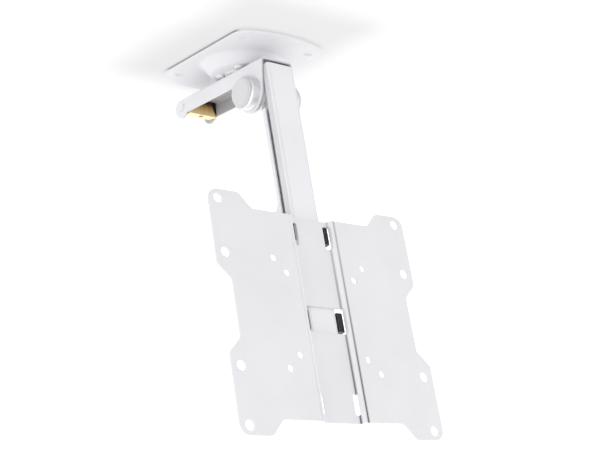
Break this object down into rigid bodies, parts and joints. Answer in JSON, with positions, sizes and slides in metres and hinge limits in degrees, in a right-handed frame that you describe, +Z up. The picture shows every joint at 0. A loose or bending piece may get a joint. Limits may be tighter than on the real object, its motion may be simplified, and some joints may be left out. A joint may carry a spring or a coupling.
{
  "type": "flip-down tv mount",
  "caption": "Ceiling mount for a flat screen: pressed swivel plate, folded channel, friction hinge, fold-up post with a slotted screen plate, and a sprung latch.",
  "frame": {"origin": "centre of the ceiling plate's top face, where it meets the ceiling", "axes": "+Z up into the ceiling, -Y towards the side that the hanging screen faces, +X to the right of a viewer who looks along +Y"},
  "size_m": [0.22, 0.2323, 0.3798],
  "materials": {
    "white_coat": "smooth powder coat, satin",
    "satin_metal": "turned, satin",
    "steel": "plain, drawn",
    "zinc": "bright zinc plating",
    "yellow_zinc": "yellow passivated zinc plating",
    "black_plastic": "moulded, matt",
    "white_plastic": "moulded, satin",
    "nylon": "natural, matt"
  },
  "bodies": {
    "ceiling": {"ceiling_plate": "white_coat", "backing_plate": "zinc", "dish_rivets": "white_coat", "swivel_bolt": "zinc", "swivel_disc": "nylon", "swivel_washer": "zinc", "swivel_nut": "zinc"},
    "bracket": {"channel_bracket": "white_coat", "hinge_drum_left": "satin_metal", "hinge_drum_right": "satin_metal", "hinge_cap_left": "white_plastic", "hinge_cap_right": "white_plastic", "hinge_bolt": "zinc", "hinge_nut": "zinc", "drum_washers": "zinc", "disc_springs": "zinc", "ear_washers": "nylon", "hinge_sleeve": "zinc", "latch_pin": "white_coat", "latch_spring": "zinc"},
    "post": {"hinge_yoke": "white_coat", "post_core": "steel", "post_front_shell": "white_coat", "post_back_shell": "white_coat", "post_top_cap": "black_plastic", "post_foot_cap": "black_plastic", "yoke_rivets": "zinc", "striker": "zinc", "striker_screws": "zinc"},
    "carriage": {"tv_plate": "white_coat", "upper_clamp": "black_plastic", "lower_clamp": "black_plastic", "clamp_screws": "zinc"},
    "latch": {"latch_plate": "yellow_zinc"}
  },
  "joints": [
    {"name": "swivel", "type": "hinge", "parent": "ceiling", "child": "bracket", "pos_m": [0, 0, -0.015], "axis": [0, 0, 1], "range_deg": [-180, 180]},
    {"name": "fold", "type": "hinge", "parent": "bracket", "child": "post", "pos_m": [0, -0.0385, -0.048], "axis": [1, 0, 0], "range_deg": [-4, 101]},
    {"name": "height", "type": "slide", "parent": "post", "child": "carriage", "axis": [0, 0.1908, 0.9816], "range_m": [-0.015, 0.018]},
    {"name": "latch_release", "type": "hinge", "parent": "bracket", "child": "latch", "pos_m": [0, 0.0825, -0.025], "axis": [1, 0, 0], "range_deg": [0, 15], "stiffness_Nm_per_rad": 0.03, "springref_deg": -28.65}
  ]
}
